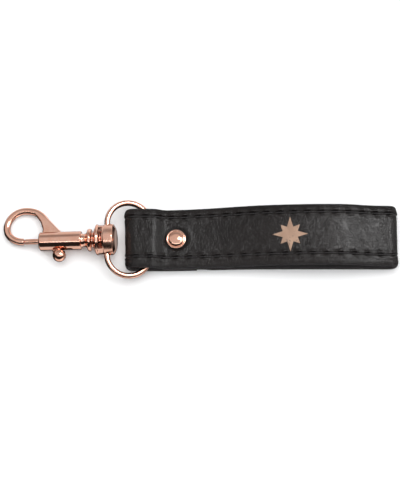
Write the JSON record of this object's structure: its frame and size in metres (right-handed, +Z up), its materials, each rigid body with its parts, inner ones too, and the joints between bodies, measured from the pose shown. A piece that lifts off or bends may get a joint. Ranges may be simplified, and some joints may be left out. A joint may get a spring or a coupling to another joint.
{
  "type": "wristlet keychain",
  "caption": "Stitched strap loop riveted round an oval link, with a swivelling trigger snap for keys.",
  "frame": {"origin": "middle of the underside, on the surface the keychain lies on", "axes": "+X along the strap, away from the snap; +Y towards the side that the hook bulges to; +Z up, out of the strap's grain side"},
  "size_m": [0.1618, 0.0332, 0.0133],
  "materials": {
    "rose_gold": "polished rose-gold plating",
    "grain": "near-black fine-grained coated leather, soft sheen",
    "lining": "matt black lining",
    "core": "plain stiffener",
    "thread": "black bonded thread",
    "foil": "hot-pressed rose-gold foil",
    "steel": "plain turned steel",
    "spring_steel": "bright drawn wire"
  },
  "bodies": {
    "strap": {"strap_outer_ply": "grain", "strap_core_ply": "core", "strap_lining_ply": "lining", "needle_thread_upper": "thread", "needle_thread_lower": "thread", "bobbin_thread_upper": "thread", "bobbin_thread_lower": "thread", "rivet_front_cap": "rose_gold", "rivet_front_socket": "steel", "rivet_rear_pin": "steel", "rivet_rear_cap": "rose_gold", "foil_star": "foil"},
    "link": {"oval_link": "rose_gold"},
    "head": {"swivel_head": "rose_gold"},
    "snap": {"snap_body": "rose_gold", "swivel_post": "rose_gold", "swivel_washer": "rose_gold", "bolt_spring": "spring_steel"},
    "bolt": {"gate_bolt": "rose_gold", "thumb_knob": "rose_gold"}
  },
  "joints": [
    {"name": "link_swing", "type": "hinge", "parent": "strap", "child": "link", "pos_m": [-0.02259, 0, 0.00394], "axis": [0, 1, 0], "range_deg": [-35.4, 14.5]},
    {"name": "head_tilt", "type": "hinge", "parent": "link", "child": "head", "pos_m": [-0.03794, -0.0006, 0.00676], "axis": [0, 1, 0], "range_deg": [-73, 106]},
    {"name": "snap_swivel", "type": "hinge", "parent": "head", "child": "snap", "pos_m": [-0.03794, -0.0006, 0.00676], "axis": [0.9938, 0, 0.1116], "continuous": true},
    {"name": "gate_slide", "type": "slide", "parent": "snap", "child": "bolt", "axis": [0.9938, 0, 0.1116], "range_m": [0, 0.0045], "stiffness_N_per_m": 350, "springref_m": -0.002, "deforming": ["bolt_spring"]}
  ]
}
